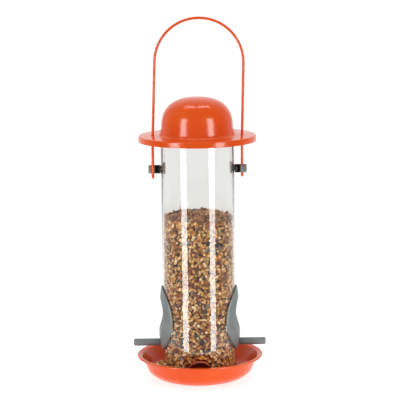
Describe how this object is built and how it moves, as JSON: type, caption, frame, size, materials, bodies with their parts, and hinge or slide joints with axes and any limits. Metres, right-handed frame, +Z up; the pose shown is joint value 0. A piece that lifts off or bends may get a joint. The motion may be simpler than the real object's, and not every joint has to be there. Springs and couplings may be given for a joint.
{
  "type": "hanging tube bird feeder",
  "caption": "Hanging tube bird feeder: clear seed tube with side feeding ports and perches, bowler-shaped steel lid sliding on a wire bail, and a round steel tray.",
  "frame": {"origin": "bottom centre: the centre of the tray's foot ring, on the surface it stands on", "axes": "+Z up along the tube, +X and -X through the feeding ports, perches and bail clips, front towards -Y"},
  "size_m": [0.1274, 0.1208, 0.3471],
  "materials": {
    "orange_paint": "gloss orange stoved paint on sheet steel and wire",
    "clear_plastic": "clear polished plastic tube",
    "grey_plastic": "satin moulded grey plastic",
    "plated_steel": "bright zinc plate",
    "mixed_seed": "loose mixed bird seed"
  },
  "bodies": {
    "root": {"tray": "orange_paint", "tube": "clear_plastic", "port_shield_left": "grey_plastic", "port_shield_right": "grey_plastic", "port_baffle_left": "grey_plastic", "port_baffle_right": "grey_plastic", "perch_left": "grey_plastic", "perch_right": "grey_plastic", "bracket_left": "plated_steel", "bracket_right": "plated_steel", "tube_screw_left": "plated_steel", "tube_screw_right": "plated_steel", "tube_nut_left": "plated_steel", "tube_nut_right": "plated_steel", "tray_screw_left": "plated_steel", "tray_screw_right": "plated_steel", "tray_nut_left": "plated_steel", "tray_nut_right": "plated_steel", "seed_fill": "mixed_seed", "tray_seeds": "mixed_seed"},
    "handle": {"handle": "orange_paint", "clip_left": "grey_plastic", "clip_right": "grey_plastic"},
    "lid": {"lid": "orange_paint"}
  },
  "joints": [
    {"name": "handle_swing", "type": "hinge", "parent": "root", "child": "handle", "pos_m": [0, 0, 0.203], "axis": [1, 0, 0], "range_deg": [-0.6, 0.6]},
    {"name": "lid_slide", "type": "slide", "parent": "handle", "child": "lid", "axis": [0.0332, 0, 0.9995], "range_m": [0, 0.06]}
  ]
}
